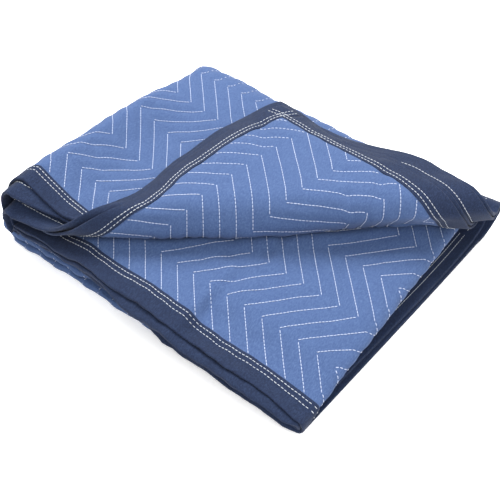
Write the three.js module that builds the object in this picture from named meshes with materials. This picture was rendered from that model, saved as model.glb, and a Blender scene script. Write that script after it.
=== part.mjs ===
import * as THREE from 'three';

// A quilted blanket, bound on all four edges and folded into a stack of sixteen layers.
// Millimetres, +Z up. X runs along the long side of the stack, Y from its bound side to its folded back.
// The cloth is doubled into a ribbon of two plies, the ribbon is folded twice along X, and the whole
// is folded in half over the back, so that the lower half mirrors the upper one.

// Cloth and binding tape
const PLY = 3.2;
const PITCH = 4.6;
const HALF_PITCH = PITCH / 2;
const THIN_HALF = 0.4;
const BINDING_WIDTH = 30;
const TAPE_MID = 1.175;
const TAPE_HALF = 0.425;
const TAPE_LIP = 0.5;
const STEP_START = 0.4;
const STEP_END = 1.2;
const BUTT_GAP = 0.8;

// Plan of the stack: centres of the round folds, the bound ends, and the axis of the back fold
const LEFT_FOLD = { top: 45, bottom: 15 };
const RIGHT_FOLD = { top: 506, bottom: 500 };
const END = 522;
const BACK = 394;
const ROOM_BELOW = 2;

// Along the stack: room under the upper four layers at the front and at the back, room under the top
// two at the front, share of height gained there, and how far the edges of the middle layers drop
const PROFILE = [
  { x: 45, room: 24, backRoom: 20, topRoom: 12, gain: 0.2, drop: 0 },
  { x: 110, room: 7, backRoom: 16, topRoom: 3, gain: 0.22, drop: 0 },
  { x: 150, room: 4, backRoom: 12, topRoom: 0, gain: 0.25, drop: 0 },
  { x: 240, room: 3, backRoom: 8, topRoom: 0, gain: 0.2, drop: 13 },
  { x: 340, room: 3, backRoom: 4, topRoom: 0, gain: 0.09, drop: 26 },
  { x: 430, room: 3, backRoom: 3, topRoom: 0, gain: -0.05, drop: 26 },
  { x: 522, room: 3, backRoom: 3, topRoom: 0, gain: -0.22, drop: 22 },
];
const BACK_ROOM_FROM = 230;
const LOFT_FADE = [
  { y: -30, share: 1.15 },
  { y: 394, share: 0 },
];
const DROP = { from: 40, run: 40, kept: 0.12, layers: 3 };

// The left folds lean in
const LEAN = { most: 12, from: 40, run: 50 };
const LEAN_ALONG = [
  { x: 45, share: 1 },
  { x: 150, share: 0 },
];
const LEAN_FADE = [
  { y: -30, share: 0.8 },
  { y: 134, share: 1 },
  { y: 394, share: 0 },
];

// How far the bound edge of each run is set back, and how much less the inner ply is, most at the left
const SET_UPPER = { outer: 26, inner: 24, rim: 2 };
const SET_LOWER = { outer: 4, inner: 2, rim: -10 };
const SET_SECOND = { outer: 2, inner: 0 };
const SET_THIRD = { outer: -3, inner: -5 };
const SET_RIGHT = { outer: -5, inner: -7 };
const SET_LEVEL = 240;
const RIM_RUN = 65;

// Slant of the two ends: from the front over the top (stage 0 to 1), over the back fold (to 2),
// and to the front below (to 3)
const END_SLANT = [
  { stage: 0, upper: -28, lower: 6 },
  { stage: 130 / BACK, upper: 8, lower: 22 },
  { stage: 230 / BACK, upper: 48, lower: 26 },
  { stage: 1, upper: 30, lower: 10 },
  { stage: 2, upper: 12, lower: 8 },
  { stage: 3, upper: -15, lower: -18 },
];
const SLANT_FROM = 150;

// Front creases of the lower half
const LOW_CREASE = [
  { x: 150, lowest: 15, others: 15 },
  { x: 240, lowest: 22, others: 46 },
  { x: 450, lowest: 24, others: 46 },
  { x: 520, lowest: 0, others: 46 },
];

// The upper front corner is turned back over a roll along a slanting line
const CREASE = { x: 132, y: 24, dirX: 0.7597, dirY: 0.6503 };
const ROLL_START = -9;
const ROLL_RADIUS = { first: 25, growth: 0.025 };
const ROLL_TURN = THREE.MathUtils.degToRad(178.5);
const ROLL_STEPS = 6;

// The bound edge of the turned corner bends in its own plane
const FLAP_BEND_DEPTH = 130;
const FLAP_BEND = [
  { x: 110, shift: 0 },
  { x: 150, shift: 24 },
  { x: 240, shift: 18 },
  { x: 340, shift: -10 },
  { x: 430, shift: -18 },
  { x: 522, shift: 0 },
];

// Zigzag quilting: lines across the stack, pressed in between padded ribs
const QUILT = { pitch: 26.6, reach: 64.8, halfWave: 72.5, press: 0.45 };
const QUILT_SHOWS = { topTo: 240, lowerFrom: -16 };
const QUILT_ON = {
  topLayer: { x: 48, y: 97 },
  flapLayer: { x: 26, y: 148 },
  lowerLayer: { x: 264, y: 75 },
};

// Colours by eye
const PANEL_COLOUR = '#627eb8';
const TAPE_COLOUR = '#3e4864';

const clamp01 = (t) => Math.min(1, Math.max(0, t));
const ease = (t) => clamp01(t) ** 2 * (3 - 2 * clamp01(t));
const mix = (a, b, t) => a + (b - a) * t;

// Straight lines between the rows of a table, level beyond its ends
function readTable(rows, key, at, column) {
  const next = rows.findIndex((row) => row[key] >= at);
  if (next === 0) return rows[0][column];
  if (next < 0) return rows[rows.length - 1][column];
  const t = (at - rows[next - 1][key]) / (rows[next][key] - rows[next - 1][key]);
  return mix(rows[next - 1][column], rows[next][column], t);
}

// Room at a place: flat triangles between the front and back values of the profile
function roomAt(x, y, front, back) {
  const found = PROFILE.findIndex((row) => row.x > x);
  const next = found < 0 ? PROFILE.length - 1 : Math.max(1, found);
  const [low, high] = [PROFILE[next - 1], PROFILE[next]];
  const t = clamp01((x - low.x) / (high.x - low.x));
  const s = clamp01((y - BACK_ROOM_FROM) / (BACK - BACK_ROOM_FROM));
  const side = t > s ? front(high) : back(low);
  const [first, last] = t > s ? [t, s] : [s, t];
  return front(low) + (side - front(low)) * first + (back(high) - side) * last;
}

const roomAbove = (x, y) => roomAt(x, y, (row) => row.room, (row) => row.backRoom);
const roomUnderTop = (x, y) => roomAt(x, y, (row) => row.topRoom, () => 0);

// Ribbon lengths: four runs joined by three round folds
const OUTER_RUN = END - LEFT_FOLD.top;
const MIDDLE_RUN = RIGHT_FOLD.top - LEFT_FOLD.top;
const OUTER_FOLD = Math.PI * (3 * PITCH + (PROFILE[0].room + PROFILE[0].topRoom) / 2);
const INNER_FOLD = Math.PI * (PITCH + PROFILE[0].room / 2);
const PARTS = [OUTER_RUN, OUTER_FOLD, MIDDLE_RUN, Math.PI * PITCH, MIDDLE_RUN, INNER_FOLD, OUTER_RUN];
const MARKS = PARTS.reduce((marks, length) => [...marks, marks[marks.length - 1] + length], [0]);
const WIDTH = MARKS[PARTS.length];

// Depth lengths: top run, back fold, bottom run, and half of the crease that joins the two plies
const BACK_ARC = Math.PI * 4 * PITCH;
const RIBBON = BACK + BACK_ARC + BACK - LOW_CREASE[0].others;
const CREASE_HALF = (Math.PI * HALF_PITCH) / 2;
const DEPTH = RIBBON + CREASE_HALF;
const MIDDLE = 7.5 * PITCH + ROOM_BELOW + PLY / 2;
const LOWEST_WOUND = MIDDLE + 4.5 * PITCH;

// Distance beyond the slanting crease, positive in the corner that is turned back
function pastCrease(x, y) {
  return (x - CREASE.x) * CREASE.dirY - (y - CREASE.y) * CREASE.dirX;
}

function alongCrease(x, y) {
  return (x - CREASE.x) * CREASE.dirX + (y - CREASE.y) * CREASE.dirY;
}

// Place along the depth: y on top, turn over the back, and share of the run underneath
function spineAt(depth) {
  const turn = clamp01((depth - BACK) / BACK_ARC);
  const under = clamp01((depth - BACK - BACK_ARC) / (RIBBON - BACK - BACK_ARC));
  return { y: Math.min(depth, BACK), turn, under, stage: clamp01(depth / BACK) + turn + under };
}

// Ribbon section: a point, and the direction in which ply a lies from it
function sectionAt(w, spine) {
  const left = mix(LEFT_FOLD.top, LEFT_FOLD.bottom, spine.turn);
  const right = mix(RIGHT_FOLD.top, RIGHT_FOLD.bottom, spine.turn);
  const room = (x) => mix(roomAbove(x, spine.y), ROOM_BELOW, ease(spine.turn));
  const topRoom = (x) => roomUnderTop(x, spine.y);
  const found = MARKS.findIndex((mark, i) => i > 0 && w <= mark);
  const part = found < 0 ? PARTS.length - 1 : found - 1;
  const t = (w - MARKS[part]) / PARTS[part];
  const sin = Math.sin(Math.PI * t);
  const cos = Math.cos(Math.PI * t);
  if (part === 0 || part === 6) {
    const even = part === 0 ? mix(END, left, t) : mix(left, END, t);
    const slant = readTable(END_SLANT, 'stage', spine.stage, part === 0 ? 'upper' : 'lower');
    const x = even + slant * clamp01((even - SLANT_FROM) / (END - SLANT_FROM));
    const height = part === 0 ? 7 * PITCH + room(x) + topRoom(x) : 5 * PITCH + room(x);
    return { x, height, nx: 0, nh: part === 0 ? 1 : -1, part };
  }
  if (part === 1) {
    const radius = 3 * PITCH + (room(left) + topRoom(left)) / 2;
    return { x: left - radius * sin, height: PITCH + radius * (1 + cos), nx: -sin, nh: cos, part };
  }
  if (part === 5) {
    const radius = PITCH + room(left) / 2;
    return { x: left - radius * sin, height: 3 * PITCH + radius * (1 - cos), nx: sin, nh: cos, part };
  }
  if (part === 3) {
    return { x: right + PITCH * sin, height: (2 - cos) * PITCH, nx: sin, nh: -cos, part };
  }
  const x = part === 2 ? mix(left, right, t) : mix(right, left, t);
  return { x, height: (part === 2 ? 1 : 3) * PITCH, nx: 0, nh: part === 2 ? -1 : 1, part };
}

// Set of the bound edge along the ribbon; the second and third runs meet at the right fold
const SETS = [
  { w: MARKS[1] - RIM_RUN, ...SET_UPPER },
  { w: MARKS[1], ...SET_UPPER, inner: SET_UPPER.rim },
  { w: MARKS[2], ...SET_SECOND },
  { w: MARKS[2] + SET_LEVEL - LEFT_FOLD.top, ...SET_SECOND },
  { w: MARKS[3], ...SET_RIGHT },
  { w: MARKS[4], ...SET_RIGHT },
  { w: MARKS[5] - SET_LEVEL + LEFT_FOLD.top, ...SET_THIRD },
  { w: MARKS[5], ...SET_THIRD },
  { w: MARKS[6], ...SET_LOWER, inner: SET_LOWER.rim },
  { w: MARKS[6] + RIM_RUN, ...SET_LOWER },
];

function boundSet(w, inner) {
  return readTable(SETS, 'w', w, inner ? 'inner' : 'outer');
}

// Turns the upper front corner back: each layer winds on its own radius
function turnBack(point, layer, flat) {
  const reach = pastCrease(point.x, point.y) - ROLL_START;
  if (reach <= 0) return settle(point);
  const footX = point.x - CREASE.dirY * reach;
  const footY = point.y + CREASE.dirX * reach;
  const footZ = LOWEST_WOUND + roomAbove(footX, footY);
  const foot = settle({ x: footX, y: footY, z: footZ });
  const above = point.z - LOWEST_WOUND - roomAbove(point.x, point.y);
  const rolled = ROLL_RADIUS.first + ROLL_RADIUS.growth * alongCrease(point.x, point.y);
  const own = rolled - layer * PITCH;
  const radius = rolled - (above * foot.z) / footZ;
  const turned = Math.min(reach / own, ROLL_TURN);
  const rest = Math.max(0, reach - ROLL_TURN * own);
  const out = radius * Math.sin(turned) + rest * Math.cos(ROLL_TURN);
  const free = Math.max(0, 1 - flat.depth / FLAP_BEND_DEPTH) * clamp01(reach / (rolled * ROLL_TURN)) ** 2;
  const bend = readTable(FLAP_BEND, 'x', flat.x, 'shift') * free;
  return {
    x: foot.x + CREASE.dirY * out + 2 * CREASE.dirX * CREASE.dirY * bend,
    y: foot.y - CREASE.dirX * out + (1 - 2 * CREASE.dirX ** 2) * bend,
    z: foot.z + rolled - radius * Math.cos(turned) + rest * Math.sin(ROLL_TURN),
  };
}

// Unevenness of the whole stack: loft along the bound side, and left folds that lean in
function settle({ x, y, z }) {
  const gain = readTable(PROFILE, 'x', x, 'gain') * readTable(LOFT_FADE, 'y', y, 'share');
  const height = z * (1 + gain);
  const along = readTable(LEAN_ALONG, 'x', x, 'share') * readTable(LEAN_FADE, 'y', y, 'share');
  const lean = LEAN.most * along * ease((height - LEAN.from) / LEAN.run);
  return { x: x + lean, y, z: height };
}

// Cloth to space: w along the ribbon, l over both plies, n out of the cloth
function place(w, l, n) {
  const inner = l > 0;
  const depth = Math.min(RIBBON, DEPTH - Math.abs(l));
  const around = (Math.PI / 2) * (1 + THREE.MathUtils.clamp(l / CREASE_HALF, -1, 1));
  const spine = spineAt(depth);
  const section = sectionAt(w, spine);
  const away = (HALF_PITCH + n) * Math.cos(around);
  const bulge = (HALF_PITCH + n) * Math.sin(around);
  const x = section.x + section.nx * away;
  const height = section.height + section.nh * away;
  if (spine.under > 0) {
    const crease = readTable(LOW_CREASE, 'x', x, section.part === 0 ? 'lowest' : 'others');
    return settle({ x, y: mix(BACK, crease, spine.under) - bulge, z: MIDDLE - height });
  }
  if (spine.turn > 0) {
    const angle = Math.PI * spine.turn;
    return settle({ x, y: BACK + height * Math.sin(angle), z: MIDDLE + height * Math.cos(angle) });
  }
  const y = depth + boundSet(w, inner) * (1 - depth / BACK);
  const point = { x, y, z: MIDDLE + height };
  if (section.part === 0) return turnBack(point, inner ? 2 : 3, { x: flatX(w), depth });
  if (section.part === 6) return turnBack(point, inner ? 1 : 0, { x: flatX(w), depth });
  const near = Math.max(0, (DROP.from - y) / DROP.run);
  const share = mix(1, DROP.kept, clamp01(height / (DROP.layers * PITCH)));
  point.z -= readTable(PROFILE, 'x', x, 'drop') * near * share;
  return settle(point);
}

// Flat places on the upper runs and on the third run, which show their quilting
function flatX(w) {
  if (w <= MARKS[1]) return END - w;
  if (w >= MARKS[6]) return LEFT_FOLD.top + w - MARKS[6];
  return RIGHT_FOLD.top - (w - MARKS[4]);
}

function flatSet(w, inner) {
  const onRun = w <= MARKS[1] || w >= MARKS[6];
  return onRun ? boundSet(w, inner) : SET_THIRD.outer;
}

function flatY(w, l) {
  const depth = DEPTH - Math.abs(l);
  return depth + flatSet(w, l > 0) * (1 - depth / BACK);
}

function quiltOf(w, l) {
  const edge = BINDING_WIDTH + STEP_END - 0.01;
  const depth = DEPTH - Math.abs(l);
  if (l > 0 || depth > BACK || depth < edge || w < edge || w > WIDTH - edge) return null;
  const past = pastCrease(flatX(w), flatY(w, l)) - ROLL_START;
  if (w <= MARKS[1]) return past < 0.1 && flatX(w) < QUILT_SHOWS.topTo + 0.1 ? QUILT_ON.topLayer : null;
  if (w >= MARKS[6]) return past > -0.1 ? QUILT_ON.flapLayer : null;
  return w >= MARKS[4] && w <= MARKS[5] && past > QUILT_SHOWS.lowerFrom ? QUILT_ON.lowerLayer : null;
}

function zigzag(y, quilt) {
  const wave = Math.abs(((y - quilt.y) / QUILT.halfWave) % 2);
  return QUILT.reach * (1 - Math.abs(1 - wave));
}

function clothHalf(w, l) {
  const edge = Math.min(w, WIDTH - w, DEPTH - Math.abs(l)) - BINDING_WIDTH;
  const step = clamp01((edge - STEP_START) / (STEP_END - STEP_START));
  const quilt = quiltOf(w, l);
  if (!quilt) return mix(THIN_HALF, PLY / 2, step);
  const line = (flatX(w) - quilt.x - zigzag(flatY(w, l), quilt)) / QUILT.pitch;
  const pressed = 1 - 2 * Math.abs(line - Math.round(line));
  return (PLY / 2) * (1 - QUILT.press * pressed);
}

// Splits convex outlines along the line a*p + b*q = c
const SNAP = 0.05;

function splitAlong(outlines, wanted, { a, b, c }) {
  const length = Math.hypot(a, b);
  return outlines.flatMap((outline) => {
    const off = outline.map(([p, q]) => (a * p + b * q - c) / length);
    const crossed = Math.max(...off) > SNAP && Math.min(...off) < -SNAP;
    if (!crossed || !wanted(outline)) return [outline];
    const parts = [[], []];
    outline.forEach((corner, i) => {
      const next = (i + 1) % outline.length;
      if (off[i] >= -SNAP) parts[0].push(corner);
      if (off[i] <= SNAP) parts[1].push(corner);
      if (Math.min(off[i], off[next]) < -SNAP && Math.max(off[i], off[next]) > SNAP) {
        const t = off[i] / (off[i] - off[next]);
        const cut = [mix(corner[0], outline[next][0], t), mix(corner[1], outline[next][1], t)];
        parts.forEach((part) => part.push(cut));
      }
    });
    return parts;
  });
}

function gridOutlines(columns, rows) {
  return columns.slice(1).flatMap((right, i) => {
    return rows.slice(1).map((high, j) => {
      return [[columns[i], rows[j]], [right, rows[j]], [right, high], [columns[i], high]];
    });
  });
}

function middleOf(outline) {
  const sum = outline.reduce(([p, q], corner) => [p + corner[0], q + corner[1]], [0, 0]);
  return [sum[0] / outline.length, sum[1] / outline.length];
}

// The four layers that wind over the roll, and places along the roll's foot where its height turns
const WOUND = [
  { upper: true, inner: false, layer: 3 },
  { upper: true, inner: true, layer: 2 },
  { upper: false, inner: true, layer: 1 },
  { upper: false, inner: false, layer: 0 },
];

const FOOT_KINKS = [110, 150, 240, 340];

function onLayer({ upper, inner }, w, l) {
  return (upper ? w < MARKS[1] : w > MARKS[6]) && inner === l > 0 && DEPTH - Math.abs(l) < BACK;
}

// Line gx*x + gy*y = value of the flat stack, on the cloth of one wound layer
function flatLine({ upper, inner }, gx, gy, value) {
  const start = upper ? 0 : MARKS[6];
  const ply = inner ? 1 : -1;
  const slack = 1 - boundSet(start, inner) / BACK;
  const a = upper ? -gx : gx;
  const b = -ply * gy * slack;
  const base = gx * flatX(start) + gy * flatY(start, ply * DEPTH) - a * start - b * ply * DEPTH;
  return { a, b, c: value - base };
}

// Lines along the roll, and lines across the turned part where the height of the foot turns
function rollLines(layer) {
  const { x, y, dirX, dirY } = CREASE;
  const along = [0, ...steps(0, ROLL_TURN, ROLL_STEPS)].map((turn) => {
    const grown = turn * ROLL_RADIUS.growth;
    const [gx, gy] = [dirY - grown * dirX, -dirX - grown * dirY];
    const first = turn * (ROLL_RADIUS.first - layer.layer * PITCH);
    return flatLine(layer, gx, gy, gx * x + gy * y + ROLL_START + first);
  });
  const across = FOOT_KINKS.map((kink) => {
    const footY = y + ((kink - x) * dirY - ROLL_START) / dirX;
    return { ...flatLine(layer, dirX, dirY, dirX * kink + dirY * footY), turnedOnly: true };
  });
  return [...along, ...across];
}

function onLine(layer, line, w, l) {
  const turned = pastCrease(flatX(w), flatY(w, l)) > ROLL_START;
  return onLayer(layer, w, l) && (turned || !line.turnedOnly);
}

function windOutlines(outlines) {
  return WOUND.reduce((found, layer) => rollLines(layer).reduce((cut, line) => {
    return splitAlong(cut, (outline) => onLine(layer, line, ...middleOf(outline)), line);
  }, found), outlines);
}

// Diagonals of the top layer's grid, where the flat triangles of the room meet at the back
function roomOutlines(outlines) {
  const run = BACK - BACK_ROOM_FROM;
  const shown = PROFILE.filter(({ x }) => x < QUILT_SHOWS.topTo);
  return shown.reduce((found, low, i) => {
    const wide = PROFILE[i + 1].x - low.x;
    const inCell = ([w, l]) => w > END - PROFILE[i + 1].x && w < END - low.x && l < 0;
    const wanted = (outline) => inCell(middleOf(outline)) && DEPTH + middleOf(outline)[1] < BACK;
    const value = run * low.x - wide * BACK_ROOM_FROM;
    return splitAlong(found, wanted, { a: -run, b: -wide, c: value - run * END + wide * DEPTH });
  }, outlines);
}

function quiltOutlines(outlines) {
  const places = [
    { quilt: QUILT_ON.topLayer, w: 1, along: -1 },
    { quilt: QUILT_ON.lowerLayer, w: MARKS[4] + 1, along: -1 },
    { quilt: QUILT_ON.flapLayer, w: MARKS[6] + 1, along: 1 },
  ];
  return places.reduce((found, { quilt, w, along }) => {
    const set = flatSet(w, false);
    const slack = 1 - set / BACK;
    const onQuilt = (outline) => quiltOf(...middleOf(outline)) === quilt;
    const first = Math.floor(-quilt.y / QUILT.halfWave);
    const last = Math.ceil((BACK - quilt.y) / QUILT.halfWave);
    let cut = found;
    for (let i = first; i <= last; i += 1) {
      const depth = (quilt.y + i * QUILT.halfWave - set) / slack;
      cut = splitAlong(cut, onQuilt, { a: 0, b: 1, c: depth - DEPTH });
    }
    for (let i = first; i < last; i += 1) {
      const from = quilt.y + i * QUILT.halfWave;
      const rising = i % 2 === 0;
      const lean = ((rising ? 1 : -1) * QUILT.reach) / QUILT.halfWave;
      const atFrom = quilt.x + (rising ? 0 : QUILT.reach);
      const inBand = (outline) => {
        const y = flatY(...middleOf(outline));
        return onQuilt(outline) && y > from && y < from + QUILT.halfWave;
      };
      const constant = atFrom + lean * (set + slack * DEPTH - from) - (flatX(w) - along * w);
      const low = Math.floor((-quilt.x - QUILT.reach) / QUILT.pitch) * 2;
      const high = Math.ceil((END - quilt.x) / QUILT.pitch) * 2;
      for (let k = low; k <= high; k += 1) {
        const line = { a: along, b: -lean * slack, c: constant + (k * QUILT.pitch) / 2 };
        cut = splitAlong(cut, inBand, line);
      }
    }
    return cut;
  }, outlines);
}

// Gives each outline the corners of its neighbours that lie on its sides
function shareCorners(outlines) {
  const kept = [];
  const own = (corner) => {
    const same = kept.find(([p, q]) => Math.max(Math.abs(p - corner[0]), Math.abs(q - corner[1])) < SNAP / 2);
    if (!same) kept.push(corner);
    return same ?? corner;
  };
  const rings = outlines.map((outline) => {
    return outline.map(own).filter((corner, i, all) => corner !== all[(i + 1) % all.length]);
  });
  return rings.filter((ring) => ring.length > 2).map((ring) => {
    const full = ring.flatMap((corner, i) => {
      const next = ring[(i + 1) % ring.length];
      const run = [next[0] - corner[0], next[1] - corner[1]];
      const length = Math.hypot(...run);
      const place = ([p, q]) => ((p - corner[0]) * run[0] + (q - corner[1]) * run[1]) / length;
      const aside = ([p, q]) => Math.abs((p - corner[0]) * run[1] - (q - corner[1]) * run[0]) / length;
      const near = (c) => place(c) > SNAP / 2 && place(c) < length - SNAP / 2 && aside(c) < SNAP;
      const between = kept.filter((c) => c !== corner && c !== next && near(c));
      return [corner, ...between.sort((c, d) => place(c) - place(d))];
    });
    return { ring: full, plain: full.length === ring.length };
  });
}

// Order in which corners are taken as the hub of their outline, so that layers share their diagonals
function frontLeft(w, inset) {
  const rising = (w > MARKS[2] && w < MARKS[4]) || w > MARKS[6];
  return WIDTH * inset + (rising ? w : -w);
}

// A closed solid over flat outlines: an outer and an inner face, and walls along the free sides
function sheetSolid(outlines, half, toSpace, rank) {
  const points = [];
  const index = new Map();
  const cornerOf = (corner) => {
    if (!index.has(corner)) {
      const thick = half(...corner);
      index.set(corner, points.length / 2);
      points.push(toSpace(...corner, thick), toSpace(...corner, -thick));
    }
    return index.get(corner);
  };
  const faces = [];
  const sides = new Map();
  shareCorners(outlines).forEach(({ ring, plain }) => {
    const loop = ring.map(cornerOf);
    const first = ring.reduce((best, corner) => (rank(...corner) < rank(...best) ? corner : best));
    const hub = cornerOf(plain ? first : middleOf(ring));
    loop.forEach((from, i) => {
      const to = loop[(i + 1) % loop.length];
      sides.set(`${from} ${to}`, [from, to]);
      if (from !== hub && to !== hub) faces.push([hub, from, to]);
    });
  });
  const triangles = faces.flatMap(([p, q, r]) => [[2 * p, 2 * q, 2 * r], [2 * p + 1, 2 * r + 1, 2 * q + 1]]);
  sides.forEach(([from, to]) => {
    if (sides.has(`${to} ${from}`)) return;
    triangles.push([2 * to, 2 * from, 2 * from + 1], [2 * to, 2 * from + 1, 2 * to + 1]);
  });
  return closedGeometry(points, triangles);
}

function closedGeometry(points, triangles) {
  const vectors = points.map(({ x, y, z }) => new THREE.Vector3(x, y, z));
  const volume = triangles.reduce((sum, [p, q, r]) => {
    return sum + vectors[p].dot(vectors[q].clone().cross(vectors[r]));
  }, 0);
  const facing = volume > 0 ? triangles : triangles.map(([p, q, r]) => [p, r, q]);
  const geometry = new THREE.BufferGeometry().setFromPoints(vectors);
  geometry.setIndex(facing.flat());
  geometry.computeVertexNormals();
  return geometry;
}

// Steps along the ribbon and over the depth
function steps(from, to, count) {
  return Array.from({ length: count }, (_, i) => mix(from, to, (i + 1) / count));
}

const STEP_IN = [BINDING_WIDTH + STEP_START, BINDING_WIDTH + STEP_END];
const ALONG = PROFILE.slice(1, -1).map(({ x }) => x - LEFT_FOLD.top);
const COLUMNS = [
  ...[0, ...STEP_IN],
  ...ALONG.map((along) => OUTER_RUN - along).reverse(),
  ...[MARKS[1], ...steps(MARKS[1], MARKS[2], 6)],
  ...ALONG.map((along) => MARKS[2] + along),
  ...[MARKS[3], ...steps(MARKS[3], MARKS[4], 4)],
  ...ALONG.map((along) => MARKS[5] - along).reverse(),
  ...[MARKS[5], ...steps(MARKS[5], MARKS[6], 6)],
  ...ALONG.map((along) => MARKS[6] + along),
  ...[WIDTH - STEP_IN[1], WIDTH - STEP_IN[0], WIDTH],
];
const HALF_ROWS = [
  ...[0, ...STEP_IN, 50, 130, 230, BACK],
  ...steps(BACK, BACK + BACK_ARC, 5),
  ...[RIBBON - 110, RIBBON],
  ...steps(RIBBON, DEPTH, 2),
];
const OUTER_ROWS = HALF_ROWS.map((depth) => depth - DEPTH);
const ROWS = [...OUTER_ROWS, ...OUTER_ROWS.slice(0, -1).map((l) => -l).reverse()];

function quiltedPanel() {
  const wound = roomOutlines(windOutlines(gridOutlines(COLUMNS, ROWS)));
  return sheetSolid(quiltOutlines(wound), clothHalf, place, (w, l) => frontLeft(w, DEPTH - Math.abs(l)));
}

// Binding tape: a strip folded over an edge, t from one inner edge over the fold to the other
const FOLD_HALF = (Math.PI * TAPE_MID) / 2;
const TAPE_REACH = BINDING_WIDTH + TAPE_LIP + FOLD_HALF;
const TAPE_ROWS = [-TAPE_REACH, -FOLD_HALF, 0, FOLD_HALF, TAPE_REACH];

function tapeSection(t, m) {
  const angle = (Math.PI / 2) * THREE.MathUtils.clamp(t / FOLD_HALF, -1, 1);
  const radius = TAPE_MID + m;
  const inset = Math.max(0, Math.abs(t) - FOLD_HALF) - TAPE_LIP - radius * Math.max(0, Math.cos(angle));
  return { inset, n: radius * Math.sin(angle) };
}

// Tape along a bound edge of the outer or the inner ply
function edgeTape(inner) {
  const ply = inner ? 1 : -1;
  const start = DEPTH + FOLD_HALF + TAPE_LIP;
  const layers = WOUND.filter((layer) => layer.inner === inner);
  const cut = [-1, 1].reduce((tape, half) => layers.reduce((found, layer) => {
    return rollLines(layer).reduce((rows, line) => {
      const wanted = (outline) => {
        const [w, t] = middleOf(outline);
        return half * t > 0 && onLine(layer, line, w, ply * (start - half * t));
      };
      const onTape = { a: line.a, b: -line.b * ply * half, c: line.c - line.b * ply * start };
      return splitAlong(rows, wanted, onTape);
    }, found);
  }, tape), gridOutlines(COLUMNS, TAPE_ROWS));
  return sheetSolid(cut, () => TAPE_HALF, (w, t, m) => {
    const { inset, n } = tapeSection(t, m);
    return place(w, ply * (DEPTH - inset), n);
  }, (w, t) => frontLeft(w, Math.abs(t)));
}

// Tape along the upper or the lower end, between the edge tapes
function endTape(upper) {
  const reach = DEPTH - BINDING_WIDTH - BUTT_GAP;
  const rows = [-reach, ...ROWS.filter((l) => Math.abs(l) < DEPTH - STEP_IN[1] - 1), reach];
  const along = upper ? 1 : -1;
  const start = upper ? -FOLD_HALF - TAPE_LIP : WIDTH + FOLD_HALF + TAPE_LIP;
  const layers = WOUND.filter((layer) => layer.upper === upper);
  const cut = [-1, 1].reduce((tape, half) => layers.reduce((found, layer) => {
    return rollLines(layer).reduce((rows, line) => {
      const wanted = (outline) => {
        const [t, l] = middleOf(outline);
        return half * t > 0 && onLine(layer, line, start + along * half * t, l);
      };
      return splitAlong(rows, wanted, { a: line.a * along * half, b: line.b, c: line.c - line.a * start });
    }, found);
  }, tape), gridOutlines(TAPE_ROWS, rows));
  return sheetSolid(cut, () => TAPE_HALF, (t, l, m) => {
    const { inset, n } = tapeSection(t, m);
    return place(upper ? inset : WIDTH - inset, l, n);
  }, (t, l) => frontLeft(upper ? Math.abs(t) : WIDTH - Math.abs(t), DEPTH - Math.abs(l)));
}

const SOLIDS = [
  { name: 'quilted_panel', geometry: quiltedPanel(), color: PANEL_COLOUR },
  { name: 'edge_binding_a', geometry: edgeTape(false), color: TAPE_COLOUR },
  { name: 'edge_binding_b', geometry: edgeTape(true), color: TAPE_COLOUR },
  { name: 'end_binding_a', geometry: endTape(true), color: TAPE_COLOUR },
  { name: 'end_binding_b', geometry: endTape(false), color: TAPE_COLOUR },
];

// Origin under the middle of the stack's box
const box = new THREE.Box3();
SOLIDS.forEach(({ geometry }) => {
  geometry.computeBoundingBox();
  box.union(geometry.boundingBox);
});
const middle = box.getCenter(new THREE.Vector3());

const blanket = new THREE.Group();
blanket.name = 'folded_blanket';
SOLIDS.forEach(({ name, geometry, color }) => {
  geometry.translate(-middle.x, -middle.y, -box.min.z);
  const material = new THREE.MeshStandardMaterial({ color, roughness: 0.95, metalness: 0 });
  const mesh = new THREE.Mesh(geometry, material);
  mesh.name = name;
  blanket.add(mesh);
});

export default blanket;
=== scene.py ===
"""A quilted blanket, bound on all edges and folded into a stack with one corner turned back.

The cloth is laid out flat, w along the ribbon and l over its two plies, and placed in folds.
Shape tables are in millimetres, in the plan of the stack, and meshes are in metres in the frame.
A span is a pair of numbers: where something starts to grow or fade, and over what run.
"""

import math

import bpy
import numpy as np
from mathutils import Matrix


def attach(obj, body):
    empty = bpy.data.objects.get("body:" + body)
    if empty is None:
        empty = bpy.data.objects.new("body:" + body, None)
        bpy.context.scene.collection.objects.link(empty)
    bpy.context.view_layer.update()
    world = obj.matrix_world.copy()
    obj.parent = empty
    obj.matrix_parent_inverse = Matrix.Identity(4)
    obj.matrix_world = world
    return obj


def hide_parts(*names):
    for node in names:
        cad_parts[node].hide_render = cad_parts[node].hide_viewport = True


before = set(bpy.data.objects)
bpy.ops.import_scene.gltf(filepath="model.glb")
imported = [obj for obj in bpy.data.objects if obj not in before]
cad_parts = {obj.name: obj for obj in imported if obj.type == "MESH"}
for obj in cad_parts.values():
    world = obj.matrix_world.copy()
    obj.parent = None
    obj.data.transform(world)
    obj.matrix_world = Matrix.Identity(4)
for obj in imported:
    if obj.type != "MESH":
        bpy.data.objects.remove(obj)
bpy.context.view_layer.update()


def table(columns, *rows):
    """Rows of numbers as named columns. The others are read against the first."""
    return dict(zip(columns.split(), np.array(rows, float).T))


MM = 0.001
STACK_MIDDLE = np.array([275.946, 214.588, 0.0])

# Cloth, loose and pressed inside its binding, the pitch of its plies in the stack, and binding tape
PLY = 3.2
PRESSED_HALF = 0.5
PITCH = 4.6
HALF_PITCH = PITCH / 2
BINDING_WIDTH = 30.0
TAPE_MID = 1.3
TAPE_HALF = 0.45
TAPE_LIP = 0.5
FOLD_HALF = math.pi * TAPE_MID / 2
TAPE_REACH = BINDING_WIDTH + TAPE_LIP + FOLD_HALF

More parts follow.
